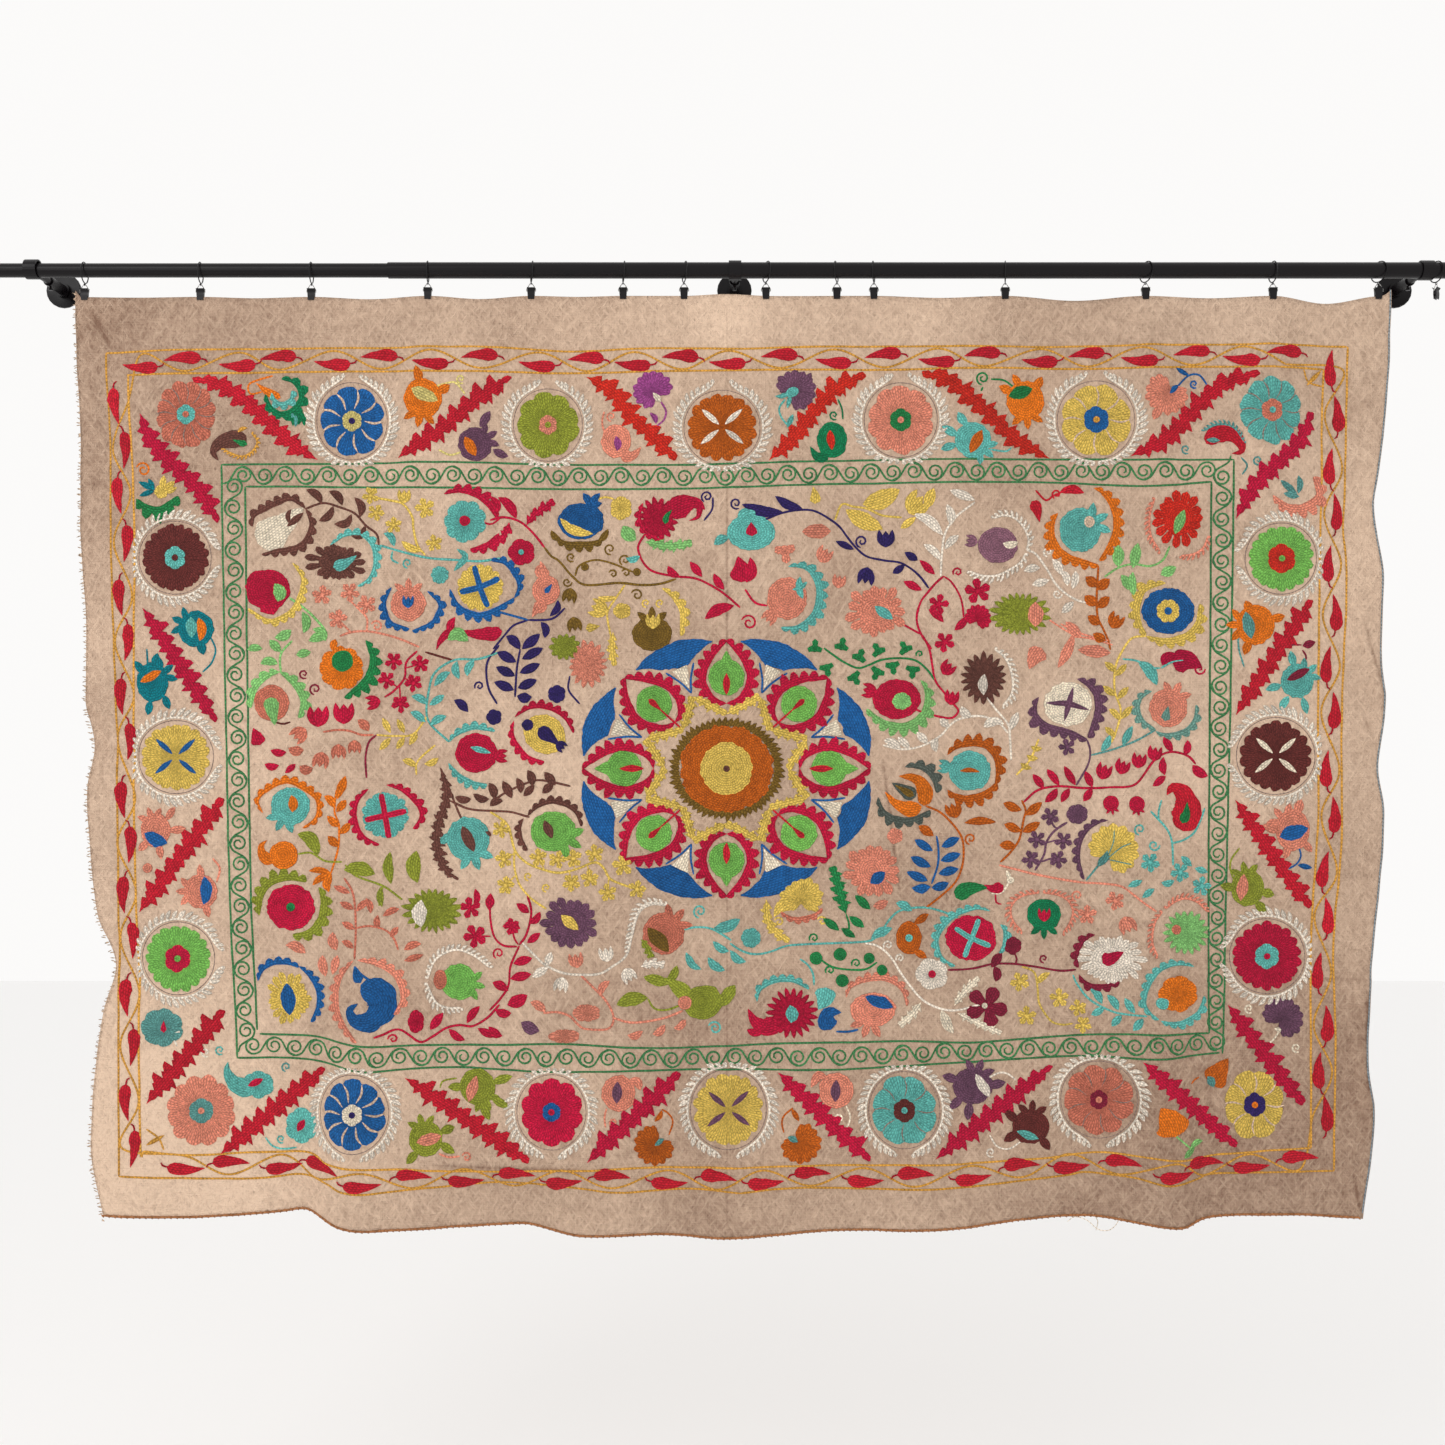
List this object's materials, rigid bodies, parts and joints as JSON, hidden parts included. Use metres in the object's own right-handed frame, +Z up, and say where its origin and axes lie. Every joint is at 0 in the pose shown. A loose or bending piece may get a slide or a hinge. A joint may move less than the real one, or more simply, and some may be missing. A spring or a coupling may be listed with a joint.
{
  "type": "suzani embroidered textile hanging on a telescoping curtain rod with ring clips and wall brackets",
  "caption": "Suzani hanging of beige cotton, silk flowers in chain stitch round a medallion, leaf and chili borders, on a black telescoping rod with clip rings.",
  "frame": {"origin": "middle of the centre bracket's flange, on the wall, level with the axis of the rod", "axes": "+X along the rod to the right as seen from the room, +Y into the wall, +Z up"},
  "size_m": [2.4586, 0.1364, 1.5808],
  "materials": {
    "cotton": "matt hand-woven cotton, crinkled, with dense silk chain-stitch embroidery in red, green, blue, yellow and salmon",
    "black_steel": "satin black enamel on steel tube",
    "black_wire": "black lacquer on steel wire and spring sheet",
    "nickel_wire": "bright nickel on thin wire"
  },
  "bodies": {
    "root": {"cloth": "cotton", "rod_outer_tube": "black_steel", "rod_inner_tube": "black_steel", "rod_left_plug": "black_steel", "rod_right_plug": "black_steel", "bracket_left_flange": "black_steel", "bracket_left_cradle": "black_steel", "bracket_left_screw": "black_steel", "bracket_centre_flange": "black_steel", "bracket_centre_cradle": "black_steel", "bracket_centre_screw": "black_steel", "bracket_right_flange": "black_steel", "bracket_right_cradle": "black_steel", "bracket_right_screw": "black_steel", "ring_01": "black_wire", "bail_01": "nickel_wire", "clip_01": "black_wire", "ring_02": "black_wire", "bail_02": "nickel_wire", "clip_02": "black_wire", "ring_03": "black_wire", "bail_03": "nickel_wire", "clip_03": "black_wire", "ring_04": "black_wire", "bail_04": "nickel_wire", "clip_04": "black_wire", "ring_05": "black_wire", "bail_05": "nickel_wire", "clip_05": "black_wire", "ring_06": "black_wire", "bail_06": "nickel_wire", "clip_06": "black_wire", "ring_07": "black_wire", "bail_07": "nickel_wire", "clip_07": "black_wire", "ring_08": "black_wire", "bail_08": "nickel_wire", "clip_08": "black_wire", "ring_09": "black_wire", "bail_09": "nickel_wire", "clip_09": "black_wire", "ring_10": "black_wire", "bail_10": "nickel_wire", "clip_10": "black_wire", "ring_11": "black_wire", "bail_11": "nickel_wire", "clip_11": "black_wire", "ring_12": "black_wire", "bail_12": "nickel_wire", "clip_12": "black_wire", "ring_13": "black_wire", "bail_13": "nickel_wire", "clip_13": "black_wire", "ring_14": "black_wire", "bail_14": "nickel_wire", "clip_14": "black_wire", "ring_15": "black_wire", "bail_15": "nickel_wire", "clip_15": "black_wire"}
  },
  "joints": []
}
